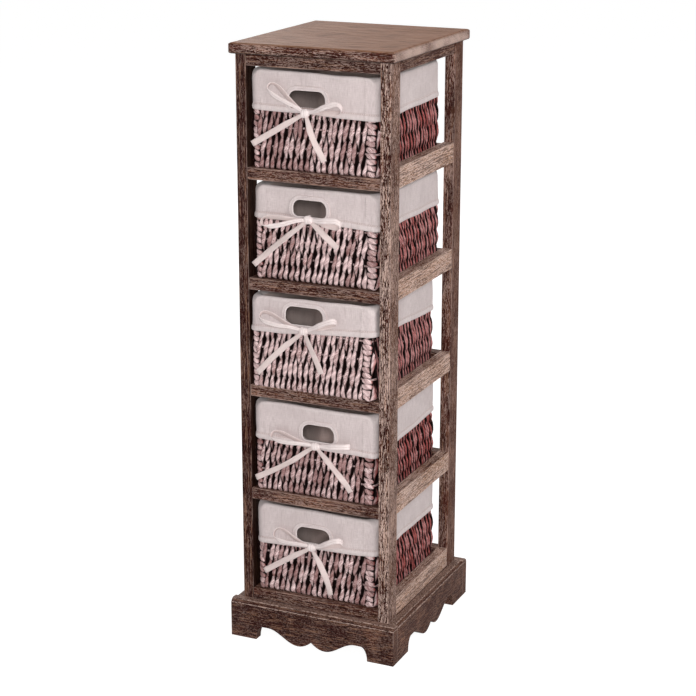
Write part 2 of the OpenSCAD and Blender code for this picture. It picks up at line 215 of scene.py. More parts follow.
def woodFinish(node, group, way, number):
    look, share = woodLook, dict(zip(groupTerms, woodGroups[group]))
    low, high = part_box(node)
    bench = finish("wood_" + node)
    here = bench.make("TexCoord", {}, out="Object")
    moved = here + tuple(number * step for step in look["shift"])
    stretch = [share["short"] if axis == way else 1 for axis in "xyz"]
    drawn = moved * tuple(stretch)
    patch = bench.grain(moved, 16, 2)
    figure = bench.grain(drawn, 90, 2, 0.5, 0.2)
    streak = bench.grain(drawn * tuple(1.4 if v < 1 else 1 for v in stretch), 900, 4, 0.68, 0.2)
    speckle = bench.grain(moved * tuple(v ** 0.5 for v in stretch), 1200, 2, 0.5)
    line = bench.grain(drawn * tuple(0.3 if v < 1 else 1 for v in stretch), 800, 2, 0.55)

    edge = edgeDistance(bench, here, low, high) + (speckle - 0.5) * 4.0 * mm
    worn = edge.ramp(*look["wear"]) * patch.ramp(0.38, 0.6)

    rise = bench.parts(here)[2]
    facing = bench.parts(bench.make("NewGeometry", {}, out="Normal"))
    upward = facing[2].ramp(0.5, 0.95)
    sideways = abs(facing[0]).ramp(0.4, 0.9)
    # faces that look across the inside of the unit are painted dark: painted shade between the parts
    right = (low.x + high.x) / 2
    towards = -1 if right > 0 else 1
    flanking = 1 if abs(right) > look["flank"] else 0
    inward = (facing[0] * towards).ramp(0.4, 0.9) * flanking

    colour = bench.mix(figure.ramp(0.3, 0.7) * (1 - share["gloom"]), look["dark"], look["brown"])
    # faces that look left or right get a ground of their own, paler on the side rails: painted side light
    ground = look["rail" if group == "sideRail" else "side"]
    colour = bench.mix(sideways * share["sides"], colour, ground)
    colour = bench.mix(patch.ramp(0.5, 0.72) * share["glow"], colour, look["warm"])
    # faces that look up get a lighter planed colour: painted light from above, on tops that are also smoother
    planed = bench.mix((figure * 0.5 + line * 0.5).ramp(0.42, 0.58), look["top"], look["pale"])
    colour = bench.mix(upward * share["tops"], colour, planed)
    rough = (1 - upward * share["tops"] * 0.85) * (1 - sideways * share["plain"])
    colour = bench.mix(streak.ramp(0.52, 0.4) * rough * share["pores"], colour, look["deep"])
    dusted = streak + (speckle - 0.5) * share["speckle"] + (patch - 0.5) * 0.3 + share["lime"] * 0.04
    lime = dusted.ramp(0.51, 0.59) * rough * share["lime"]
    colour = bench.mix(lime, colour, look["lime"])
    colour = bench.mix(line.ramp(0.5, 0.4) * 0.65, colour, look["dark"])
    colour = bench.mix(line.ramp(0.55, 0.65) * (1 - upward * 0.7) * 0.4, colour, look["pale"])
    colour = bench.mix(worn * 0.35, colour, look["lime"])
    if group == "board":
        # lime stays in the end grain
        ends = (patch * 0.5 + streak * 0.5).ramp(0.36, 0.56)
        colour = bench.mix(sideways * ends * 0.65, colour, look["lime"])
    if group == "plinth":
        # the two narrow steps of the moulding catch the light
        for step in mouldLook["steps"]:
            off = abs(rise - (high.z - step * mm)).ramp(mouldLook["core"], mouldLook["fade"])
            bright = (1 - off) * streak.ramp(0.42, 0.56)
            colour = bench.mix(bright * 0.8, colour, look["lime"])
    # painted shade on the faces that look inward
    colour = bench.mix(inward * 0.75, colour, look["deep"])
    # faces that look down are painted near black: painted shade under the pieces
    colour = bench.mix(facing[2].ramp(-0.5, -0.95) * 0.85, colour, look["deep"])
    relief = streak * 0.8 + line * 0.3 + speckle * 0.2
    values = {"Base Color": colour, "Roughness": 0.62 + lime * 0.2, "Specular IOR Level": 0.06}
    return bench.surface(values, relief, look["relief"])


def paintWood():
    plan = [("top_board", "board", "x"), ("plinth_front", "plinth", "x"), ("plinth_rear", "plinth", "x")]
    plan += [("plinth_left", "plinth", "y"), ("plinth_right", "plinth", "y")]
    plan += [("post_front_left", "darkPost", "z"), ("post_front_right", "palePost", "z")]
    plan += [("post_" + place, "post", "z") for place in ("rear_left", "rear_right")]
    plan += [("apron_" + place, "apron", "x") for place in ("front", "rear")]
    plan += [("apron_" + place, "apron", "y") for place in ("left", "right")]
    for k in shelves:
        plan += [(f"front_rail_{k}", "rail", "x"), (f"rear_rail_{k}", "rail", "x")]
        plan += [(f"left_rail_{k}", "sideRail", "y"), (f"right_rail_{k}", "sideRail", "y")]
        plan += [(f"shelf_panel_{k}", "panel", "x")]
    for number, (node, group, way) in enumerate(plan, 1):
        dress(node, woodFinish(node, group, way, number))


def dress(node, material):
    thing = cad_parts[node]
    for place in thing.material_slots:
        place.material = material


say("painting the wood")
paintWood()


# Dowels, steel and filler


def pegFinish():
    bench = finish("birch_dowel")
    here = bench.make("TexCoord", {}, out="Object")
    fibre = bench.grain(here, 500, 3, 0.6)
    colour = bench.mix(fibre, tone(196, 160, 118), tone(226, 198, 156))
    return bench.surface({"Base Color": colour, "Roughness": 0.6}, fibre, 0.1 * mm)


def steelFinish():
    bench = finish("plated_steel")
    here = bench.make("TexCoord", {}, out="Object")
    drawn = bench.grain(here, 900, 2, 0.5)
    spot = bench.grain(here, 60, 2, 0.5)
    colour = bench.mix(spot, tone(150, 150, 152), tone(196, 196, 198))
    rough = 0.28 + drawn * 0.2
    return bench.surface({"Base Color": colour, "Roughness": rough, "Metallic": 1.0}, drawn, 0.03 * mm)


def fillerFinish():
    bench = finish("brown_filler")
    here = bench.make("TexCoord", {}, out="Object")
    spot = bench.grain(here, 220, 3, 0.6)
    colour = bench.mix(spot.ramp(0.35, 0.7), tone(34, 14, 10), tone(76, 44, 34))
    values = {"Base Color": colour, "Roughness": 0.7, "Specular IOR Level": 0.2}
    return bench.surface(values, spot, 0.2 * mm)


say("dowels, screws and wire")
dress("dowels", pegFinish())
steel = steelFinish()
dress("screws", steel)
for k in shelves:
    dress(f"basket_{k}_wire", steel)


# Meshes are gathered from grids of points


class Pile:
    def __init__(self):
        self.points = []
        self.faces = []
        self.marks = {"fibre": [], "look": []}
        self.count = 0

    def grid(self, points, fibre, look, ring=False, loop=False, keep=None, caps=False):
        # points are rows by columns; ring joins the last column to the first, loop the last row
        rows, columns = points.shape[:2]
        index = np.arange(rows * columns).reshape(rows, columns) + self.count
        wide = np.concatenate([index, index[:, :1]], 1) if ring else index
        wide = np.concatenate([wide, wide[:1]], 0) if loop else wide
        quads = np.stack([wide[:-1, :-1], wide[:-1, 1:], wide[1:, 1:], wide[1:, :-1]], -1)
        quads = quads.reshape(-1, 4) if keep is None else quads[keep]
        self.faces += quads.tolist()
        if caps:
            self.faces += [index[0, ::-1].tolist(), index[-1].tolist()]
        self.points.append(points.reshape(-1, 3))
        for name, mark in (("fibre", fibre), ("look", look)):
            full = np.broadcast_to(mark, points.shape)
            self.marks[name].append(full.reshape(-1, 3))
        self.count += rows * columns

    def piece(self, name, material, slot, body, *nodes):
        mesh = bpy.data.meshes.new(name)
        mesh.from_pydata(np.concatenate(self.points).tolist(), [], self.faces)
        for mark, values in self.marks.items():
            layer = mesh.attributes.new(mark, "FLOAT_VECTOR", "POINT")
            layer.data.foreach_set("vector", np.concatenate(values).astype(np.float32).ravel())
        mesh.polygons.foreach_set("use_smooth", [True] * len(mesh.polygons))
        mesh.validate()
        mesh.update()
        mesh.materials.append(material)
        thing = bpy.data.objects.new(name, mesh)
        bpy.context.scene.collection.objects.link(thing)
        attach(thing, body)
        if nodes:
            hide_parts(*nodes)
        return thing


# Small sums on lines and rings of points

skyward = np.array([0, 0, 1.0])
forward = np.array([0, -1.0, 0])


def unit(vectors):
    return vectors / np.maximum(np.linalg.norm(vectors, axis=-1, keepdims=True), 1e-12)


def lengths(line):
    return np.concatenate([[0], np.cumsum(np.linalg.norm(np.diff(line, axis=0), axis=1))])


def turns(count):
    # even angles once round
    return np.linspace(0, 2 * math.pi, count, endpoint=False)


def joined(line):
    # a ring of points with its first one again at the end
    return np.concatenate([line, line[:1]])


def spread(*parts):
    # values side by side on a last axis of their own, all in one common shape
    return np.stack(np.broadcast_arrays(*parts), -1)


def sample(places, run, line):
    # a line at places along it, where run is its length up to each of its points
    return np.stack([np.interp(places, run, column) for column in line.T], -1)


def ringColumns(counts):
    # wall or corner number and share along it, for an outline with so many columns on each
    return np.array([(part, i / n) for part, n in enumerate(counts) for i in range(n)])


def outline(width, depth, radius, columns):
    # points and outward directions round a rectangle with round corners, anticlockwise from its front
    kind, share = columns[:, 0].astype(int), columns[:, 1]
    x, y = width / 2 - radius, depth / 2 - radius
    centres = np.array([(-x, -y), (x, -y), (x, y), (-x, y)])
    wall, corner = kind // 2, kind % 2
    first, last = centres[wall], centres[(wall + 1) % 4]
    mix = np.where(corner == 1, 1.0, share)[:, None]
    angle = np.radians(-90 + 90 * (wall + corner * share))
    out = np.stack([np.cos(angle), np.sin(angle)], -1)
    return first * (1 - mix) + last * mix + radius * out, out


def ripple(points, size, seed):
    # smooth noise from about -1 to 1 at points, with size giving its wavelength on each axis
    scaled = points.reshape(-1, 3) / np.array(size) + seed
    values = [noise.noise(p) for p in scaled.tolist()]
    return np.array(values).reshape(points.shape[:-1]) * 1.6


# Filler: a bead along the slit between each plinth board and the rail behind it

beadLook = {
    "overlap": 0.4 * mm,
    "below": 0.3 * mm,
    "deep": 1.6 * mm,
    "waver": 0.1 * mm,
    "waves": 900,  # radians of the waver per metre
    "rings": 60,
    "sides": 12,
}


def fillSlits():
    look = beadLook
    pile = Pile()
    angle = turns(look["sides"])
    for place, axis in (("front", 1), ("rear", 1), ("left", 0), ("right", 0)):
        board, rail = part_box("plinth_" + place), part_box(f"{place}_rail_5")
        inward = 1 if board[0][axis] < 0 else -1
        outer = board[1 if inward > 0 else 0][axis] - inward * look["overlap"]
        inner = rail[0 if inward > 0 else 1][axis] + inward * look["overlap"]
        run = np.linspace(rail[0][1 - axis], rail[1][1 - axis], look["rings"])
        height = board[1].z - look["below"] + np.sin(angle) * look["deep"] / 2
        points = np.zeros((len(run), len(angle), 3))
        points[..., axis] = (outer + inner) / 2 + np.cos(angle) * abs(inner - outer) / 2
        points[..., 1 - axis] = run[:, None]
        points[..., 2] = height + look["waver"] * np.sin(run * look["waves"])[:, None]
        pile.grid(points, points, (0, 0, 0), ring=True, caps=True)
    return pile.piece("plinth_filler", fillerFinish(), "frame_wood", "frame")


say("filling the slits")
fillSlits()


# Weave: fat twisted husk strands over thin warps

weaveLook = {
    "frontStep": 4.4 * mm,
    "sideStep": 4.9 * mm,
    "topUnder": 16 * mm,  # how far under the rim the weave ends, inside the cuff
    "firstRings": (0.93, 0.8),  # shares of the height, where the cuff hides the strands
    "lastRings": 0.66,  # from this share of the height down, the rings are one step apart
    "ringStep": 4 * mm,
    "floorStep": 12 * mm,
    "floorReach": 22 * mm,  # how far the side strands run in under the floor
    "firstWarp": [30, 32, 30, 29, 32],
    "warpStep": [28, 24, 28, 25, 27],
    "wide": 4.9 * mm,
    "narrow": 2.2 * mm,
    "deep": 2.5 * mm,
    "plump": (0.78, 0.22),  # share of that depth behind a warp, and what comes to it in front
    "groove": 0.18,
    "swing": 2.0 * mm,
    "calm": 0.45,  # share of the swing that is left under the cuff and under the floor
    "calmAbove": 0.6,
    "lean": 1.9 * mm,
    "drift": 0.9 * mm,
    "driftLong": 17 * mm,
    "turn": 26 * mm,
    "middle": 2.2 * mm,
    "proud": 0.7 * mm,
    "bulge": {"side": 2.4 * mm, "front": 0.8 * mm},
    "bulgeHigh": 0.7,
    "shade": {"side": 0.5, "front": 0.52},
    # strands are painted dark by how far they lie behind the front ones: painted shade
    "dusk": 10 * mm,  # how far behind the front ones a strand counts as wholly sunk
    "tuck": 1.2 * mm,
    "tuckOver": 8 * mm,
    "lowRadius": 5 * mm,
    "cornerRadius": 9 * mm,
    "sides": 10,
    "paler": [-0.15, 0.05, 0.3, -0.3, -0.15],
    "inner": 5.6 * mm,
    "innerStep": 8 * mm,
    "wrapInset": {-1: 5 * mm, 1: 10 * mm},  # at the left corners and at the right ones
    "wrapLong": {-1: 5.5 * mm, 1: 7.6 * mm},
    "wrapFirst": 4.5 * mm,
    "wrapStep": 8.4 * mm,
    "wrapRise": 3.4 * mm,
    "wrapSink": 2.2 * mm,
    "wrapFat": 1.03,
    "wrapShade": 0.28,
    "cornerTurn": {-1: 8, 1: 36},  # degrees from the side to each corner's strand
    "beside": 2.4 * mm,  # between the wraps and the nearest strand
    "gripRoom": 6 * mm,  # how far the hole in the weave is past the grip hole at its sides
    "gripUnder": 7 * mm,  # and under it
    "warp": 1.4 * mm,
    "warpWaver": 0.8 * mm,
    "floorWarp": 1.6 * mm,
    "floorWarpStep": 13.5 * mm,
    "warpSides": 6,
}
linerLook = {
    "cuff": 55 * mm,
    "stand": 1.9 * mm,
    "sideStand": 0.9 * mm,
    "cornerRadius": 9 * mm,
    "bagInset": 7.6 * mm,
    "bagRadius": 15 * mm,
    "floor": 7.4 * mm,
    "floorRound": 6 * mm,
    "floorWaves": 1.1 * mm,
    "bagWaves": 1.2 * mm,
    "crestWaves": 0.8 * mm,
    "hemWaves": 1.1 * mm,
    "plainFrom": 12.5 * mm,  # over the hem's fold, where the plain cuff starts
    "cuffRows": 19,  # in the plain part of the cuff
    "outerFold": (4.5, 9.5),  # height of the outer half of the rim's fold, and what a corner adds
    "innerFold": 4.5 * mm,
    "foldShare": (0.47, 0.33),
    "wobble": 0.9 * mm,
    "small": 0.3 * mm,
    "pucker": 0.4 * mm,
    "seamInset": 16 * mm,
    "seamHalf": 1.6 * mm,
    "seed": 11.3,
}
gripLook = {  # in millimetres; the lists go from basket 1 to basket 5
    "wide": [57, 53, 60, 52, 55],
    "high": [27, 25, 28, 26, 26],
    "right": [-10, -9, -11, 7, -4],
    "up": [6, 15, 19, 5, 4],
    "topRadius": 12,
    "lowRadius": 7,
    "band": 6,
    "lowBand": 0.55,  # how much narrower the band is under the hole
    "seam": 1.6,  # the stitches run this far inside the band's outer edge
    "flare": 4.5,
    "snap": 0.9,  # points this near to the hole's edge go onto it
}
# how far the hem and the rim rise at the front's left and right ends, in millimetres, for each basket
hemLift = [(2, -3.5), (7.5, 3.5), (1.5, 14), (-2, -9), (-7.5, 0.5)]
crestLift = [(3.5, 0), (0, 0), (0, 2), (0.5, 0), (1, 0)]


def gripPlace(k):
    # this basket's grip hole: its size, how far right its middle is, and its lower edge above the plain hem
    return {name: gripLook[name][k - 1] * mm for name in ("wide", "high", "right", "up")}


def slope(k, pairs, points, width, depth):
    # a rise along the front from left to right, in metres, that dies away towards the back
    left, right = pairs[k - 1]
    across = np.interp(points[..., 0], [-width / 2, width / 2], [left, right])
    return across * np.clip(0.5 - points[..., 1] / depth, 0, 1) * mm


def basketPlace(k):
    # the basket's own origin, its outer size without the cuff, and the height of its rim
    low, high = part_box(f"basket_{k}_weave")
    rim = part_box(f"basket_{k}_liner")[1].z - low.z
    middle = np.array([(low.x + high.x) / 2, (low.y + high.y) / 2, low.z])
    return middle, high.x - low.x, high.y - low.y, rim


# height of each cuff's plain hem over its basket's floor
hemLevels = {k: basketPlace(k)[3] - linerLook["cuff"] for k in shelves}


def wallLine(half, top, reach, bulge):
    # down a wall, round its lower edge and under the floor: heights, distances out, the two parts
    # of the way out, and the level that a warp is placed by
    look = weaveLook
    radius = look["lowRadius"]
    covered = np.array(look["firstRings"]) * top
    bare = np.arange(look["lastRings"] * top, radius + 2 * mm, -look["ringStep"])
    wall = np.concatenate([[top], covered, bare])
    turn = np.radians([0, 30, 60, 90])
    count = max(2, int((half - radius - reach) / look["floorStep"]))
    floor = np.linspace(half - radius, reach, count)[1:]
    height = np.concatenate([wall, radius - radius * np.sin(turn), 0 * floor])
    swell = bulge * np.sin(math.pi * np.clip(wall / (look["bulgeHigh"] * top), 0, 1)) ** 1.5
    away = np.concatenate([half + swell, half - radius + radius * np.cos(turn), floor])
    outAway = np.concatenate([0 * wall + 1, np.cos(turn), 0 * floor])
    outDown = np.concatenate([0 * wall, np.sin(turn), 0 * floor + 1])
    under = radius - radius * math.pi / 2 + floor - floor.max()
    level = np.concatenate([wall, radius - radius * turn, under])
    return height, away, outAway, outDown, level


class Tub:
    # one basket's weave: its sizes, its random draws and the pile that its strands go on
    def __init__(self, k):
        look = weaveLook
        grip = gripPlace(k)
        self.k = k
        self.rng = np.random.RandomState(400 + k)
        self.pile = Pile()
        self.middle, self.width, self.depth, rim = basketPlace(k)
        self.halfX = self.width / 2 - look["middle"] + look["proud"]
        self.halfY = self.depth / 2 - look["middle"]
        self.top = rim - look["topUnder"]
        self.gripMid = grip["right"]
        self.gripHalf = grip["wide"] / 2 + look["gripRoom"]
        self.under = hemLevels[k] + grip["up"] - look["gripUnder"]

    def strand(self, line, side, out, front, wide, shade):
        # one twisted strand along a line; front is 1 where it passes over a warp and -1 behind one
        look, rng = weaveLook, self.rng
        rise = lengths(line)
        angle = turns(look["sides"])
        turn = 2 * math.pi / (look["turn"] * rng.uniform(0.85, 1.2)) * rise[:, None] + rng.uniform(0, 6.3)
        lobes = 1 - look["groove"] * (0.5 + 0.5 * np.cos(2 * (angle - turn))) ** 2
        share = (0.5 + 0.5 * front)[:, None]
        half = (look["narrow"] + (look["wide"] - look["narrow"]) * share) * wide
        deep = look["deep"] * (look["plump"][0] + look["plump"][1] * share)
        across = np.cos(angle) * half * lobes
        outward = np.sin(angle) * deep * lobes
        points = line[:, None] + across[..., None] * side + outward[..., None] * out[:, None]
        rolled = angle - turn
        fibre = spread(half.mean() * np.cos(rolled), half.mean() * np.sin(rolled), rise[:, None])
        fibre = fibre + rng.uniform(0, 9, 3)
        stand = outward + look["swing"] * front[:, None]
        # the flanks and the parts that lie behind are marked to be painted dark: painted shade in the gaps
        # between strands
        flank = np.abs(np.cos(angle)) ** 3 * shade
        sunk = np.clip((look["deep"] + look["swing"] - stand) / look["dusk"] + flank, 0, 1)
        tint = min(1, max(0, rng.uniform(0, 1) + look["paler"][self.k - 1]))
        mark = spread(tint, sunk, (1 - lobes) / look["groove"])
        self.pile.grid(points, fibre, mark, ring=True, caps=True)

    def lay(self, number, centre, direction, side, half, reach, top, wide=1.0, wavy=1.0, mirrored=False):
        # a strand down a wall and under the floor, or mirrored, also up the wall across from it
        look, rng = weaveLook, self.rng
        first, step = (look[name][self.k - 1] * mm for name in ("firstWarp", "warpStep"))
        wall = "front" if mirrored else "side"
        height, away, outAway, outDown, level = wallLine(half, top, reach, look["bulge"][wall])
        if mirrored:
            height, level, outDown = (np.concatenate([v, v[::-1]]) for v in (height, level, outDown))
            away, outAway = (np.concatenate([v, -v[::-1]]) for v in (away, outAway))
        parity = 1 if number % 2 else -1
        phase = math.pi * (level - first + rng.uniform(-1.2, 1.2) * mm) / step
        front = parity * np.cos(phase)
        calm = np.where(height > look["calmAbove"] * top, look["calm"], 1.0)
        calm = calm * np.where(outDown > 0.9, look["calm"], 1.0)
        lean = look["lean"] * wavy * rng.uniform(0.5, 1.3) * parity * np.sin(phase)
        lean = lean + rng.uniform(-0.7, 0.7) * mm
        drift = rng.uniform(0, 6.3)
        waver = np.sin(height / look["driftLong"] + drift) - math.sin(drift)
        lean = lean + look["drift"] * wavy * waver
        flat, across = np.array([*direction, 0.0]), np.array([*side, 0.0])
        out = outAway[:, None] * flat - outDown[:, None] * skyward
        covered = np.clip((height - hemLevels[self.k]) / look["tuckOver"] - 0.5, 0, 1)
        away = away - look["tuck"] * np.sign(away) * covered
        line = np.array([*centre, look["middle"]]) + away[:, None] * flat + height[:, None] * skyward
        line = line + (look["swing"] * front * calm)[:, None] * out + lean[:, None] * across
        wide = wide * rng.uniform(0.86, 1.1)
        self.strand(line, across, unit(out), front, wide, look["shade"][wall])

    def wrap(self, sx, face, z):
        # a short strand lying across two stakes, as the corners are bound, bent with the wall
        look, rng = weaveLook, self.rng
        radius = look["cornerRadius"] - look["middle"]
        turn = np.linspace(-1.3, 1.3, 11)
        middle = sx * (self.width / 2 - look["wrapInset"][sx])
        x = middle + np.sin(turn) * look["wrapLong"][sx] * rng.uniform(0.88, 1.1)
        bent = np.clip((np.abs(x) - self.halfX + radius) / radius, 0, math.pi / 2)
        out = spread(np.sign(x) * np.sin(bent), face * np.cos(bent), 0)
        flat = np.sign(x) * (np.minimum(np.abs(x), self.halfX - radius) + radius * np.sin(bent))
        tilt = rng.uniform(-1.9, -0.2) * mm * np.sin(turn)
        line = spread(flat, face * (self.halfY - radius * (1 - np.cos(bent))), z + tilt)
        swell = look["bulge"]["front"] * math.sin(math.pi * min(1, z / (80 * mm))) ** 1.5
        line = line + out * (np.cos(turn) * look["wrapRise"] - look["wrapSink"] + swell)[:, None]
        front = np.cos(turn) * 1.6 - 0.6
        self.strand(line, skyward, unit(out), front, look["wrapFat"], look["wrapShade"])

    def frontAndRear(self):
        look = weaveLook
        first = -self.width / 2 + look["wrapInset"][-1] + look["wrapLong"][-1] + look["beside"]
        last = self.width / 2 - look["wrapInset"][1] - look["wrapLong"][1] - look["beside"]
        for i, x in enumerate(np.linspace(first, last, round((last - first) / look["frontStep"]) + 1)):
            top = self.under if abs(x - self.gripMid) < self.gripHalf else self.top
            self.lay(i, (x, 0), (0, -1), (1, 0), self.halfY, 0, top, mirrored=True)

    def sides(self):
        look = weaveLook
        reach = self.depth / 2 - look["cornerRadius"]
        places = np.linspace(-reach, reach, round(2 * reach / look["sideStep"]) + 1)
        inner = self.halfX - look["floorReach"]
        for side in (-1, 1):
            for i, y in enumerate(places):
                self.lay(i, (0, y), (side, 0), (0, -side), self.halfX, inner, self.top, 0.96, 1.5)

    def corners(self):
        look = weaveLook
        radius = look["cornerRadius"]
        for sx in (-1, 1):
            turn = math.radians(look["cornerTurn"][sx])
            for sy in (-1, 1):
                centre = (sx * (self.width / 2 + look["proud"] - radius), sy * (self.depth / 2 - radius))
                way = (sx * math.cos(turn), sy * math.sin(turn))
                self.lay(0, centre, way, (-way[1], way[0]), radius - look["middle"], 1 * mm, self.top, 1.1)
                # the wraps stop under the cuff, where they would show through it
                corner = np.array([sx * self.width / 2, sy * self.depth / 2, 0])
                hem = hemLevels[self.k] + slope(self.k, hemLift, corner, self.width, self.depth)
                for z in np.arange(look["wrapFirst"], hem + 4 * mm, look["wrapStep"]):
                    self.wrap(sx, sy, z + self.rng.uniform(-0.7, 0.7) * mm)

    def innerFace(self):
        # a dark inner face closes the gaps between the strands: a sheet of painted shade, where only shade
        # lies behind the weave
        look = weaveLook
        inset = look["inner"]
        around = ringColumns((40, 6, 30, 6, 40, 6, 30, 6))
        radius = look["cornerRadius"] - inset
        line, _ = outline(self.width - inset * 2, self.depth - inset * 2, radius, around)
        heights = np.append(np.arange(2 * mm, self.under, look["innerStep"]), [self.under, self.top - 2 * mm])
        back = np.stack([np.column_stack([line, np.full(len(line), z)]) for z in heights])
        hole = self.behindGrip(back) & (back[..., 2] >= self.under)
        whole = np.concatenate([~hole, ~hole[:, :1]], 1)
        keep = (whole[1:, :-1] | whole[:-1, :-1]) & whole[1:, 1:]
        self.pile.grid(back, back, (0.5, 1.0, 0.0), ring=True, keep=keep)

    def behindGrip(self, points):
        return (np.abs(points[..., 0] - self.gripMid) < self.gripHalf) & (points[..., 1] < 0)

    def warps(self):
        # warps run all round, each passing behind the strands that come forward
        look = weaveLook
        angle = turns(look["warpSides"])[None, :, None]
        around = ringColumns((29, 4, 29, 4, 29, 4, 29, 4))
        radius = look["cornerRadius"] - look["middle"]
        for j in range(4):
            level = look["middle"] + (look["firstWarp"][self.k - 1] + j * look["warpStep"][self.k - 1]) * mm
            if level > self.top:
                break
            swell = math.sin(math.pi * min(1, level / (look["bulgeHigh"] * self.top))) ** 1.5
            side, face = (look["bulge"][name] * swell for name in ("side", "front"))
            line, out = outline(2 * (self.halfX + side), 2 * (self.halfY + face), radius + face, around)
            line = np.column_stack([line, np.full(len(line), level)])
            line[:, 2] += ripple(line, (40 * mm,) * 3, 3.1 * j) * look["warpWaver"]
            out = np.column_stack([out, 0 * out[:, 0]])[:, None]
            points = line[:, None] + (np.cos(angle) * out + np.sin(angle) * skyward) * look["warp"]
            keep = None
            if level > self.under:
                keep = np.broadcast_to(~self.behindGrip(line)[:, None], points.shape[:2])
            self.pile.grid(points, line[:, None], (0.6, 0.3, 0.0), ring=True, loop=True, keep=keep)

    def floorWarps(self):
        look = weaveLook
        angle = turns(look["warpSides"])
        ring = spread(0, np.cos(angle), np.sin(angle)) * look["floorWarp"]
        xs = np.linspace(-self.halfX + 8 * mm, self.halfX - 8 * mm, 12)
        for y in np.arange(-self.halfY + 14 * mm, self.halfY - 10 * mm, look["floorWarpStep"]):
            line = spread(xs, y, look["middle"])[:, None]
            self.pile.grid(line + ring, line, (0.5, 0.5, 0.0), ring=True, caps=True)


def weave(k):
    tub = Tub(k)
    tub.frontAndRear()
    tub.sides()
    tub.corners()
    tub.innerFace()
    tub.warps()
    tub.floorWarps()
    tub.pile.points = [points + tub.middle for points in tub.pile.points]
    return tub.pile.piece(f"basket_{k}_strands", husk, "husk_weave", f"basket_{k}", f"basket_{k}_weave")


def huskFinish():
    bench = finish("twisted_husk")
    fibre = bench.attribute("fibre")
    tint, sunk, groove = bench.parts(bench.attribute("look"))
    strands = bench.grain(fibre * (1, 1, 0.16), 1500, 3, 0.6)
    mottle = bench.grain(fibre, 70, 3, 0.6)
    facing = bench.parts(bench.make("NewGeometry", {}, out="Normal"))
    sideways = abs(facing[0]).ramp(0.6, 0.95)
    colour = bench.mix(strands.ramp(0.32, 0.62), tone(122, 76, 74), tone(255, 229, 229))
    colour = bench.mix(mottle.ramp(0.5, 0.75) * 0.5, colour, tone(146, 88, 80))
    colour = bench.mix(tint.ramp(0.5, 1.0) * 0.5, colour, tone(242, 216, 216))
    colour = bench.mix(tint.ramp(0.5, 0.0) * 0.6, colour, tone(124, 74, 70))
    # strands that look left or right are painted red-brown: painted warm shade of the baskets' sides
    colour = bench.mix(sideways * 0.64, colour, tone(156, 30, 18))
    # the grooves of each twist are painted darker: painted shade in the creases
    colour = bench.mix(groove * 0.45, colour, tone(92, 46, 46))
    # painted shade: the gaps and flanks between strands, the inner face and the floor warps go near black,
    # the other warps partly
    colour = bench.mix(sunk.ramp(0.16, 0.48) * 0.99, colour, tone(10, 2, 2))
    rough = 0.62 - strands * 0.15
    relief = strands * 0.7 + mottle * 0.5
    values = {"Base Color": colour, "Roughness": rough, "Specular IOR Level": 0.02}
    return bench.surface(values, relief, 0.5 * mm)


say("weaving the baskets")
husk = huskFinish()
for k in shelves:
    weave(k)


# Liners: a bag that folds over the rim into a cuff with a sewn hem and a bound grip hole


def clothFinish(name, light, shade):
    bench = finish(name)
    fibre = bench.attribute("fibre")
    tint, sunk, inner = bench.parts(bench.attribute("look"))
    upright = bench.grain(fibre * (1, 0.12, 1), 900, 3, 0.6)
    level = bench.grain(fibre * (0.12, 1, 1), 900, 3, 0.6)
    slub = bench.grain(fibre * (1, 0.12, 1), 210, 3, 0.6)
    cloud = bench.grain(fibre, 28, 2)
    yarns = upright * 0.5 + level * 0.5
    colour = bench.mix((upright * 0.6 + level * 0.4).ramp(0.25, 0.75), shade, light)
    colour = bench.mix(slub.ramp(0.54, 0.7) * 0.38, colour, tone(172, 156, 156))
    colour = bench.mix(cloud.ramp(0.35, 0.7) * 0.45, colour, shade)
    # painted shade: the hem's folds and raw edge, the binding's tunnel, the tape's back and creases, the knot
    # and, a little, the whole bag
    colour = bench.mix(sunk * 0.6, colour, tone(136, 88, 70))
    # lighter: the thread and the tape all over, and as a painted highlight the folds of the hem, the rim and
    # the binding's rolled edge
    colour = bench.mix(tint * 0.35, colour, tone(250, 242, 240))
    # the bag is tinted warm: painted warm shade inside it
    colour = bench.mix(inner * 0.3, colour, tone(204, 166, 146))
    values = {"Base Color": colour, "Roughness": 0.9, "Specular IOR Level": 0.2, "Sheen Weight": 0.15}
    return bench.surface(values, yarns + slub * 0.4, 0.25 * mm)


def gripEdge(x, z, grip):
    # distance outside the grip hole's outline, about its middle
    radius = np.where(z > 0, gripLook["topRadius"], gripLook["lowRadius"]) * mm
    qx = np.abs(x) - grip["wide"] / 2 + radius
    qz = np.abs(z) - grip["high"] / 2 + radius
    return np.minimum(np.maximum(qx, qz), 0) + np.hypot(np.maximum(qx, 0), np.maximum(qz, 0)) - radius


def gripOutline(grip, count=72):
    # even points round the grip hole and the directions away from it, about its middle
    x, z = grip["wide"] / 2, grip["high"] / 2
    points, ways = [], []
    for sx, sz, start in ((1, -1, -90), (1, 1, 0), (-1, 1, 90), (-1, -1, 180)):
        radius = gripLook["topRadius" if sz > 0 else "lowRadius"] * mm
        for a in np.radians(np.linspace(start, start + 90, 10)):
            way = np.array([math.cos(a), math.sin(a)])
            points.append(np.array([sx * (x - radius), sz * (z - radius)]) + way * radius)
            ways.append(way)
    points, ways = joined(np.array(points)), joined(np.array(ways))
    run = lengths(points)
    places = np.linspace(0, run[-1], count, endpoint=False)
    return sample(places, run, points), unit(sample(places, run, ways))


def bandShare(facing):
    # the flat of the binding is narrower under the hole
    return 1 - gripLook["lowBand"] * np.clip(-facing[:, 1:], 0, 1)


stitchLook = {"long": 2.3 * mm, "step": 3.4 * mm, "fat": 0.36 * mm, "proud": 0.05 * mm}


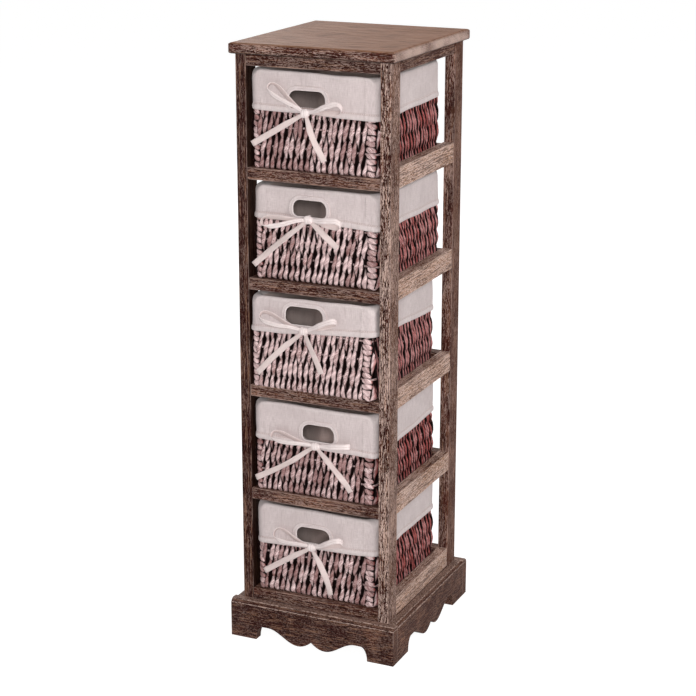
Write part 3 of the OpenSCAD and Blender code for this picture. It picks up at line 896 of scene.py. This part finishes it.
def stitches(pile, line, outward):
    # a row of small half-round stitches along a line of points
    look = stitchLook
    run = lengths(line)
    long = np.array([-0.5, -0.36, 0.36, 0.5])[:, None, None] * look["long"]
    fat = np.array([0.15, 1, 1, 0.15])[:, None] * look["fat"]
    angle = np.radians([0, 45, 90, 135, 180])
    for place in np.arange(look["step"] / 2, run[-1], look["step"]):
        start, end = sample(np.array([place - 0.5 * mm, place + 0.5 * mm]), run, line)
        out = unit(sample(place, run, outward))
        way = unit(end - start)
        side = np.cross(way, out)
        points = (start + end) / 2 + long * way + (np.cos(angle) * fat)[..., None] * side
        points = points + (np.sin(angle) * fat + look["proud"])[..., None] * out
        pile.grid(points, points, (0.8, 0.0, 0.0))


# the hem, from its raw edge inside, round its lower fold and up past its seam: how far it stands off
# and how high it is, in mm, and how much painted shade it gets
hemProfile = [(0.7, 8, 0.9), (0.7, 4, 0.9), (0.8, 1.2, 0.6), (1.3, 0.2, 0.2), (2.0, 0.0, 0.1)]
hemProfile += [(2.6, 0.6, 0), (3.2, 1.6, 0), (3.4, 3.6, 0), (3.25, 5.6, 0), (2.8, 7.2, 0)]
hemProfile += [(2.0, 8.2, 0.35), (1.75, 8.9, 0.5), (1.95, 9.7, 0.3), (2.1, 10.8, 0)]
gripFirstRow = 10  # the grip hole is cut from this row up
hemSeamRow = 11  # the row of the hem that its stitches run along

# the binding, from inside the bag through the hole to its flat on the cuff: how far it lies from the
# hole's edge and how deep, in mm, its share of the way through, how much painted highlight and how much
# painted shade it gets
flare, band = gripLook["flare"], gripLook["band"]
bindingProfile = [(flare + 3.0, 0.2, 1, 0, 0.3), (flare + 1.6, 1.0, 1, 0, 0.3)]
bindingProfile += [(flare + 0.2, 0.8, 1, 0, 0.3), (flare - 0.5, -0.4, 1, 0, 0.3)]
bindingProfile += [(flare / 2, 0.5, 0.5, 0, 0.6), (-0.4, 1.0, 0, 0.3, 0.3)]
bindingProfile += [(-0.85, -0.3, 0, 0.9, 0), (-0.5, -1.1, 0, 0.9, 0)]
bindingProfile += [(0.5, -1.45, 0, 0.6, 0), (0.2 * band, -1.3, 0, 0.2, 0), (0.45 * band, -1.0, 0, 0.15, 0)]
bindingProfile += [(0.7 * band, -1.0, 0, 0.15, 0), (0.88 * band, -1.15, 0, 0.3, 0.1)]
bindingProfile += [(0.97 * band, -0.7, 0, 0.3, 0.3), (band, 0.3, 0, 0, 0.7)]


class Liner:
    # one basket's liner, in the basket's own frame until its pieces are made
    def __init__(self, k):
        look = linerLook
        self.k = k
        self.seed = look["seed"] * k
        self.middle, self.width, self.depth, self.rim = basketPlace(k)
        self.face = -self.depth / 2 - look["stand"]
        self.seamX = self.width / 2 - look["seamInset"]
        self.grip = gripPlace(k)
        lift = hemLevels[k] + self.grip["up"] + self.grip["high"] / 2
        self.gripMid = np.array([self.grip["right"], lift])
        self.columns = ringColumns((84, 9, 42, 9, 42, 9, 42, 9))
        wide = self.width + 2 * look["sideStand"]
        self.outer, self.out = outline(wide, self.depth, look["cornerRadius"], self.columns)
        self.outward = np.column_stack([self.out, 0 * self.out[:, 0]])
        self.bagWidth, self.bagDepth = (side - 2 * look["bagInset"] for side in (self.width, self.depth))

    def swell(self, points):
        # how far the cuff stands off its plain shape
        look, seed = linerLook, self.seed
        broad = ripple(points, (46 * mm, 46 * mm, 60 * mm), seed)
        small = ripple(points, (15 * mm, 15 * mm, 45 * mm), seed + 5)
        pucker = ripple(points, (6 * mm, 6 * mm, 30 * mm), seed + 9)
        near = np.clip(1 - np.abs(points[..., 2] - hemLevels[self.k] - 8 * mm) / (12 * mm), 0, 1)
        seam = np.exp(-((points[..., 0] - self.seamX) / look["seamHalf"]) ** 2) * (points[..., 1] < 0)
        ridge = (0.6 + 0.9 * ripple(points, (9 * mm, 9 * mm, 7 * mm), seed + 4)) * mm * seam
        return look["wobble"] * broad + look["small"] * small + look["pucker"] * pucker * near + ridge

    def nearCorners(self):
        # 1 at the corners of the rim and less the further a column is from one
        near = np.array([math.sin(math.pi * share) if part % 2 else 0.0 for part, share in self.columns])
        for _ in range(4):
            near = (np.roll(near, 1) + near * 2 + np.roll(near, -1)) / 4
        return np.clip(near * 1.15, 0, 1)

    def rows(self):
        # of each row: share of the way from cuff to bag, distance out, height, how much painted shade, how
        # much painted highlight;
        # and the number of the bag's first row
        look, hemZ, stand = linerLook, hemLevels[self.k], linerLook["stand"]
        near = self.nearCorners()
        base = np.column_stack([self.outer, 0 * self.outer[:, 0] + self.rim])
        crest = self.rim + (0.7 + ripple(base, (42 * mm,) * 3, self.seed + 2)) * look["crestWaves"]
        crest = crest + slope(self.k, crestLift, base, self.width, self.depth)
        hemDrop = ripple(base, (55 * mm,) * 3, self.seed + 3) * look["hemWaves"]
        hemDrop = hemDrop + slope(self.k, hemLift, base, self.width, self.depth)
        outHigh = (look["outerFold"][0] + look["outerFold"][1] * near) * mm
        fold = look["foldShare"][0] + look["foldShare"][1] * near
        rows = []
        for away, up, dark in hemProfile:
            # the hem's rows get painted shade in its folds and a painted highlight below its seam
            rows.append((0, away * mm, hemZ + up * mm + hemDrop, dark, 0.3 if up < 8 else 0))
        start, end = hemZ + look["plainFrom"] + hemDrop, crest - outHigh
        for share in np.linspace(0, 1, look["cuffRows"]):
            rows.append((0, stand, start + (end - start) * share, 0, 0))
        # the rim's fold gets a painted highlight
        for angle in np.radians(np.linspace(15, 90, 6)):
            height = crest - outHigh * (1 - math.sin(angle))
            rows.append((fold * (1 - math.cos(angle)), stand, height, 0, 0.25))
        for angle in np.radians(np.linspace(18, 90, 5)):
            height = crest - look["innerFold"] * (1 - math.cos(angle))
            share = fold + (1 - fold) * math.sin(angle)
            rows.append((share, stand * (1 - math.sin(angle)), height, 0, 0.1))
        # the bag's rows are close down to below the grip hole and wide under it
        bagFirst = len(rows)
        wallTop = (crest - look["innerFold"]).mean()
        high = np.arange(wallTop - 2.4 * mm, 86 * mm, -2.3 * mm)
        low = np.linspace(84 * mm, look["floor"] + look["floorRound"], 11)
        # the bag's rows get a little painted shade
        rows += [(1, 0, 0 * crest + height, 0.1, 0) for height in np.concatenate([high, low])]
        table = np.array([np.broadcast_arrays(*row) for row in rows], float)
        return table.transpose(1, 0, 2), bagFirst

    def bagFloor(self, edge):
        # the floor of the bag closes on its middle line
        look = linerLook
        half = (self.bagDepth - self.bagWidth) / 2
        spine = spread(0, np.clip(edge[:, 1], -half, half), look["floor"])
        rows = []
        for angle in np.radians([35, 65, 90]):
            flat = edge[:, :2] - self.out * (look["floorRound"] * (1 - math.cos(angle)))
            height = look["floor"] + look["floorRound"] * (1 - math.sin(angle))
            rows.append(np.column_stack([flat, np.full(len(flat), height)]))
        inner = rows[-1]
        for share in np.linspace(0.1, 1, 11):
            ring = inner * (1 - share) + spine * share
            waves = 0.4 + ripple(ring, (38 * mm,) * 3, self.seed + 6)
            ring[:, 2] += waves * look["floorWaves"] * min(1, 4 * share)
            rows.append(ring)
        return np.array(rows)

    def cutGrip(self, points, bagFirst, bagLast):
        # the grip hole goes through the front of the cuff and of the bag; tells which faces are left
        upper = np.arange(len(points))[:, None]
        front = (self.columns[:, 0] == 0) & (np.abs(self.out[:, 1]) > 0.9)
        region = front[None, :] & (upper >= gripFirstRow) & (upper < bagLast)
        x, z = points[..., 0] - self.gripMid[0], points[..., 2] - self.gripMid[1]
        wider = np.where(upper >= bagFirst, gripLook["flare"] * mm, 0)
        gap = np.where(region, gripEdge(x, z, self.grip) - wider, 1.0)
        follow = np.concatenate([gap, gap[:, :1]], 1)
        cells = np.stack([follow[:-1, :-1], follow[:-1, 1:], follow[1:, 1:], follow[1:, :-1]], -1)
        snap = gripLook["snap"] * mm
        keep = cells.max(-1) > snap
        touched = np.zeros(gap.shape, bool)
        for beside in (keep, np.roll(keep, 1, 1)):
            touched[:-1] |= beside
            touched[1:] |= beside
        step = 0.05 * mm
        slopeX = (gripEdge(x + step, z, self.grip) - gripEdge(x - step, z, self.grip)) / (2 * step)
        slopeZ = (gripEdge(x, z + step, self.grip) - gripEdge(x, z - step, self.grip)) / (2 * step)
        move = np.where((gap < snap) & touched, gap, 0)
        points[..., 0] -= move * slopeX
        points[..., 2] -= move * slopeZ
        return keep

    def bag(self):
        # cuff, rim, walls and floor in one sheet
        look = linerLook
        (share, stand, height, dark, light), self.bagFirst = self.rows()
        inner, _ = outline(self.bagWidth, self.bagDepth, look["bagRadius"], self.columns)
        part = share[..., None]
        flat = self.outer * (1 - part) + inner * part + self.out * stand[..., None]
        points = np.concatenate([flat, height[..., None]], -1)
        hollow = -np.abs(ripple(points, (30 * mm, 30 * mm, 70 * mm), self.seed + 7)) * look["bagWaves"]
        swell = np.where(share >= 1, hollow, self.swell(points) * (1 - share))
        points = points + swell[..., None] * self.outward
        bagLast = len(points)
        points = np.concatenate([points, self.bagFloor(points[-1])])
        keep = self.cutGrip(points, self.bagFirst, bagLast)
        # marks: painted highlight on the folds, painted shade in the hem and, a little, all over the bag
        marks = np.zeros(points.shape)
        marks[:bagLast, :, 0] = light
        marks[:, :, 1] = 0.1
        marks[:bagLast, :, 1] = dark
        # the bag's rows take the warm painted shade
        marks[self.bagFirst:, :, 2] = 1
        run = lengths(joined(self.outer))[:-1]
        down = np.concatenate([[0], np.cumsum(np.linalg.norm(np.diff(points, axis=0), axis=2).mean(1))])
        pile = Pile()
        pile.grid(points + self.middle, spread(run, down[:, None], self.k), marks, ring=True, keep=keep)
        self.points = points
        name = f"basket_{self.k}"
        return pile.piece(name + "_lining", linen, "liner_cloth", name, name + "_liner")

    def onFace(self, flat):
        # points right and up, put on the plane of the cuff's front
        return spread(flat[:, 0], self.face, flat[:, 1])

    def binding(self):
        # a bound edge goes round the hole, through the weave and round the hole in the bag
        edge, facing = gripOutline(self.grip)
        edge = edge + self.gripMid
        through = linerLook["bagInset"] + linerLook["stand"]
        wall = self.onFace(edge)
        swell = self.swell(wall)
        away, deep, share, bright, dark = np.array(bindingProfile).T
        rings = []
        for out, inset, part in zip(away, deep, share):
            flat = edge + facing * out * mm * (bandShare(facing) if out > 1 else 1)
            y = self.face - swell * (1 - part) + inset * mm + through * part
            rings.append(spread(flat[:, 0], y, flat[:, 1]))
        rings = np.array(rings)
        fibre = spread(np.arange(len(rings))[:, None] * mm, lengths(joined(wall))[:-1], 0)
        pile = Pile()
        pile.grid(rings + self.middle, fibre, spread(bright[:, None], dark[:, None], 0), ring=True)
        return pile.piece(f"basket_{self.k}_binding", linen, "liner_cloth", f"basket_{self.k}")

    def thread(self):
        # rows of stitches up the seam beside the right corner, above the hem and round the binding
        pile = Pile()
        beside = np.abs(self.outer[:, 0] - self.width / 2 + linerLook["seamInset"])
        column = np.argmin(beside + (self.columns[:, 0] != 0))
        seam = self.points[2:self.bagFirst - 6, column] + self.middle
        stitches(pile, seam, np.broadcast_to(self.outward[column], seam.shape))
        stitches(pile, joined(self.points[hemSeamRow] + self.middle), joined(self.outward))
        line, facing = gripOutline(self.grip)
        line = line + facing * (gripLook["band"] - gripLook["seam"]) * mm * bandShare(facing) + self.gripMid
        line = self.onFace(line)
        line[:, 1] -= self.swell(line) + 1.05 * mm
        line = joined(line + self.middle)
        stitches(pile, line, np.broadcast_to(forward, line.shape))
        return pile.piece(f"basket_{self.k}_stitches", linen, "liner_cloth", f"basket_{self.k}")


def sewLiner(k):
    liner = Liner(k)
    return liner.bag(), liner.binding(), liner.thread()


say("sewing the liners")
linen = clothFinish("liner_cotton", tone(221, 209, 209), tone(190, 177, 177))
lined = {k: sewLiner(k) for k in shelves}


# Bows: folded tape tied at the hem, each loop and tail given as points right and up from its knot

bowLook = {
    "half": 4.4 * mm,
    "thick": 0.45 * mm,
    "hemFace": 3.2 * mm,
    "knotSize": (7.2, 3.6, 5.1),
    "knotTurn": (5, 4.1, 5.6),
    "knotUp": [2.2, 6.8, 5.2, 4.9, 3.5],
    "knotShift": [-1.5, 0, 1, -3, -1],
    "leftLoop": [(-53, 37), (-72, -9), (-66, 19), (-68, 11), (-58, 18)],
    "rightLoop": [(58, 12), (52, -2), (53, 21), (57, 9), (52, 20)],
    "leftSlant": [30, 10, 44, 34, 26],  # 0 shows a loop's edge and its full opening, 90 the flat of its tape
    "rightSlant": [26, 34, 56, 76, 46],
    "legSlant": 64,
    "leftHigh": [8.5, 8.5, 9.5, 8.5, 10.5],
    "rightHigh": [9.0, 8.0, 8.0, 6.5, 9.0],
    "leftTail": [(-83, -49), (-88, -74), (-76, -72), (-98, -63), (-79, -51)],
    "rightTail": [(29, -66), (44, -37), (27, -61), (56, -63), (30, -71)],
    "leftSag": [0, -1, -2, 3, -1],
    "rightSag": [-1.5, 1, 0, 4, 5],
    "leftTwist": [20, -18, 16, 24, -14],
    "rightTwist": [58, 30, -14, 60, 30],
}


# across the tape and through it, with pressed edges and a crease down its middle
tapeSection = [(-1, 0), (-0.97, 0.7), (-0.84, 0.85), (-0.77, 0.4), (-0.69, 0.95), (-0.1, 1)]
tapeSection += [(0, 0.45), (0.1, 1), (0.69, 0.95), (0.77, 0.4), (0.84, 0.85), (0.97, 0.7)]
tapeSection += [(1, 0), (0.97, -0.7), (0.5, -0.9), (0, -0.8), (-0.5, -0.9), (-0.97, -0.7)]
creaseLevels = (0.4, 0.45)


def ribbon(pile, line, across, seed, wide=1.0):
    # folded tape along a line
    look = bowLook
    flat, through = np.array(tapeSection).T
    way = unit(np.gradient(line, axis=0))
    across = unit(across - (across * way).sum(-1, keepdims=True) * way)
    up = np.cross(across, way)
    wide = np.broadcast_to(wide, len(line))[:, None, None]
    points = line[:, None] + flat[:, None] * look["half"] * wide * across[:, None]
    points = points + through[:, None] * look["thick"] * up[:, None]
    fibre = spread(flat * look["half"], lengths(line)[:, None], seed)
    # the tape's back and its creases are painted darker: painted shade
    sunk = np.where(through < 0, 0.55, np.where(np.isin(through, creaseLevels), 0.75, 0.0))
    pile.grid(points, fibre, spread(0.35, sunk, 0), ring=True, caps=True)


def smoothLine(points, count):
    # an even line through a few points, rounded between them
    run = lengths(points)
    line = sample(np.linspace(0, run[-1], 200), run, points)
    kernel = np.hanning(41)[1:-1]
    kernel /= kernel.sum()
    before = line[0] + np.arange(-19, 0)[:, None] * (line[1] - line[0])
    after = line[-1] + np.arange(1, 20)[:, None] * (line[-1] - line[-2])
    padded = np.concatenate([before, line, after])
    line = np.stack([np.convolve(column, kernel, "valid") for column in padded.T], -1)
    run = lengths(line)
    return sample(np.linspace(0, run[-1], count), run, line)


def loop(pile, knot, end, slant, high, seed):
    # a teardrop of tape, out from the knot along one side, round the tip and back along the other
    look = bowLook
    long = math.hypot(*end) * mm
    way = np.array([end[0], 0, end[1]]) * mm / long
    side = np.array([-way[2], 0, way[0]])
    turn = np.linspace(0.16, 2 * math.pi - 0.16, 60)
    half = np.sin(turn / 2)
    opening = np.clip(half / 0.5, 0, 1) ** 1.5
    tip = np.clip((half - 0.8) / 0.18, 0, 1)
    lean = np.radians(84 + (slant - 84) * opening)[:, None]
    plane = side * np.cos(lean) + forward * np.sin(lean)
    legs = max(slant, look["legSlant"])
    lean = np.radians(84 + (legs + (slant - legs) * tip - 84) * opening)[:, None]
    across = forward * np.cos(lean) - side * np.sin(lean)
    lift = high * 0.8 * math.sin(math.radians(slant)) * mm
    lift = lift + look["half"] * 0.9 * math.cos(math.radians(slant))
    swell = high * mm * np.sign(np.sin(turn)) * np.abs(np.sin(turn)) ** 0.75 * half
    line = knot + long * half[:, None] * way + swell[:, None] * plane
    line = line + (2.6 * mm + (lift - 1.4 * mm) * opening)[:, None] * forward
    ribbon(pile, line, across, seed, 0.5 + 0.42 * opening)


def tail(pile, knot, tip, sag, twist, seed):
    # an end of tape that falls from the knot in a slight curve and turns over on its way
    tip = np.array(tip, float)
    side = unit(np.array([-tip[1], tip[0]]))
    path = [(0, 0, 1.6), (*(tip * 0.12), 2.6)]
    for share, proud in ((0.35, 2.4), (0.6, 1.7), (0.8, 1.4)):
        path.append((*(tip * share + side * sag * math.sin(math.pi * share)), proud))
    path.append((*tip, 1.6))
    path = smoothLine(np.array(path) * mm, 34)
    share = np.linspace(0, 1, len(path))
    turn = np.radians(twist * np.sin(math.pi * share) ** 2 + 6 * np.sin(7 * share + seed))
    gathered = 0.6 + 0.4 * np.clip(3 * share, 0, 1) ** 1.5
    path[:, 2] += np.abs(np.sin(turn)) * bowLook["half"] * gathered
    line = knot + np.column_stack([path[:, 0], -path[:, 2], path[:, 1]])
    tangent = unit(np.gradient(path[:, :2], axis=0))
    flat = spread(-tangent[:, 1], 0, tangent[:, 0])
    across = flat * np.cos(turn)[:, None] - forward * np.sin(turn)[:, None]
    ribbon(pile, line, across, seed, gathered)


def tieKnot(pile, knot, k):
    # a puffed heart with a turn of tape over it
    look = bowLook
    u, v = np.linspace(0, math.pi, 12)[:, None], turns(20)[None]
    heart = spread(np.cos(u), -np.sin(u) * np.cos(v), np.sin(u) * np.sin(v))
    heart = np.sign(heart) * np.abs(heart) ** 0.85 * np.array(look["knotSize"]) * mm
    heart = heart * (1 + 0.08 * ripple(heart, (4 * mm,) * 3, k)[..., None])
    heart = heart + knot + 2.2 * mm * forward
    pile.grid(heart, heart, (0.35, 0.1, 0), ring=True)
    lean = np.random.RandomState(70 + k).uniform(-0.25, 0.25)
    turn = np.radians(np.linspace(-105, 105, 16))
    wide, deep, high = (size * mm for size in look["knotTurn"])
    band = spread(np.sin(turn) * lean * wide, -np.cos(turn) * deep - 2.4 * mm, np.sin(turn) * high)
    ribbon(pile, band + knot, np.tile(np.array([1.0, 0, -lean]), (len(turn), 1)), k + 0.9)


def bow(k):
    pick = {name: values[k - 1] for name, values in bowLook.items() if isinstance(values, list)}
    middle, width, depth, _ = basketPlace(k)
    across = gripPlace(k)["right"] + pick["knotShift"] * mm
    spot = np.array([across, -depth / 2 - bowLook["hemFace"], hemLevels[k] + pick["knotUp"] * mm])
    spot[2] += slope(k, hemLift, spot, width, depth)
    knot = spot + middle
    pile = Pile()
    for number, name in enumerate(("left", "right")):
        tail(pile, knot, *(pick[name + part] for part in ("Tail", "Sag", "Twist")), k + number * 0.3)
        loop(pile, knot, *(pick[name + part] for part in ("Loop", "Slant", "High")), k + 0.5 + number * 0.2)
    tieKnot(pile, knot, k)
    return pile.piece(f"basket_{k}_tape", tape, "bow_tape", f"basket_{k}", f"basket_{k}_bow")


say("tying the bows")
tape = clothFinish("bow_cotton", tone(252, 241, 240), tone(226, 211, 211))
for k in shelves:
    tied = bow(k)


# Floor, lights and camera

say("floor, lights and camera")
stageLook = {"floor": 30.0, "paper": 0.82, "glow": 0.6, "white": 1.52, "sky": 0.26}


def seen(bench):
    # 1 for what the camera sees, straight or in gloss or glass
    path = bench.make("LightPath", {}, out="Is Camera Ray").socket.node
    kinds = ("Is Camera Ray", "Is Glossy Ray", "Is Transmission Ray")
    straight, gloss, glass = (Feed(bench, path.outputs[name]) for name in kinds)
    return straight.most(gloss).most(glass)


def floorFinish():
    bench = finish("pale_floor")
    paper = bench.make("BsdfDiffuse", {}, {"Color": (stageLook["paper"],) * 3})
    glow = bench.make("Emission", {}, {"Color": (1.0, 1.0, 1.0), "Strength": stageLook["white"]})
    both = bench.make("MixShader", {}, {0: seen(bench) * stageLook["glow"], 1: paper, 2: glow})
    bench.make("OutputMaterial", {}, {"Surface": both})
    return bench.owner


def skyFinish():
    world = bpy.data.worlds.new("studio")
    bpy.context.scene.world = world
    bench = Bench(world)
    soft = bench.make("Background", {}, {"Color": (1.0, 0.99, 0.98), "Strength": stageLook["sky"]})
    white = bench.make("Background", {}, {"Color": (1.0, 1.0, 1.0), "Strength": 1.0})
    both = bench.make("MixShader", {}, {0: seen(bench), 1: soft, 2: white})
    bench.make("OutputWorld", {}, {"Surface": both})


def makeFloor():
    half = stageLook["floor"] / 2
    mesh = bpy.data.meshes.new("floor")
    corners = [(-half, -half, 0), (half, -half, 0), (half, half, 0), (-half, half, 0)]
    mesh.from_pydata(corners, [], [(0, 1, 2, 3)])
    mesh.materials.append(floorFinish())
    floor = bpy.data.objects.new("floor", mesh)
    bpy.context.scene.collection.objects.link(floor)


lampLook = {
    "key": {"place": (2.7, -0.9, 2.3), "size": 0.8, "power": 37, "colour": (1.0, 0.98, 0.96)},
    "front": {"place": (1.25, -2.75, 1.42), "size": 0.4, "power": 55, "colour": (1.0, 0.98, 0.96)},
    "rear": {"place": (-2.0, 2.4, 1.9), "size": 1.2, "power": 50, "colour": (1.0, 0.99, 0.98)},
}
lampAim = (0, 0, 0.45)


def makeLamp(name, look):
    data = bpy.data.lights.new(name, "AREA")
    data.shape = "SQUARE"
    data.size = look["size"]
    data.energy = look["power"]
    data.color = look["colour"]
    lamp = bpy.data.objects.new(name, data)
    bpy.context.scene.collection.objects.link(lamp)
    lamp.location = look["place"]
    aim = Vector(lampAim) - lamp.location
    lamp.rotation_mode = "QUATERNION"
    lamp.rotation_quaternion = aim.to_track_quat("-Z", "Y")


# found by matching corners of the unit to the photograph; places and distances are in metres,
# angles in degrees, lens and sensor in millimetres
cameraLook = {
    "azimuth": 24.5,
    "elevation": 16.67,
    "distance": 2.8561,
    "aim": (-0.0064, 0.0, 0.4319),
    "lens": 98.28,
    "sensor": 36.0,
    "clip": (0.1, 50),
}


def makeCamera():
    look = cameraLook
    data = bpy.data.cameras.new("camera")
    data.lens, data.sensor_width = look["lens"], look["sensor"]
    data.clip_start, data.clip_end = look["clip"]
    camera = bpy.data.objects.new("camera", data)
    bpy.context.scene.collection.objects.link(camera)
    a, e = math.radians(look["azimuth"]), math.radians(look["elevation"])
    back = Vector((math.sin(a) * math.cos(e), -math.cos(a) * math.cos(e), math.sin(e)))
    camera.location = Vector(look["aim"]) + back * look["distance"]
    camera.rotation_mode = "QUATERNION"
    camera.rotation_quaternion = (-back).to_track_quat("-Z", "Y")
    bpy.context.scene.camera = camera


makeFloor()
skyFinish()
for name, look in lampLook.items():
    makeLamp(name, look)
makeCamera()
bpy.context.scene.view_settings.view_transform = "Standard"

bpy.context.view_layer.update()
say("done")
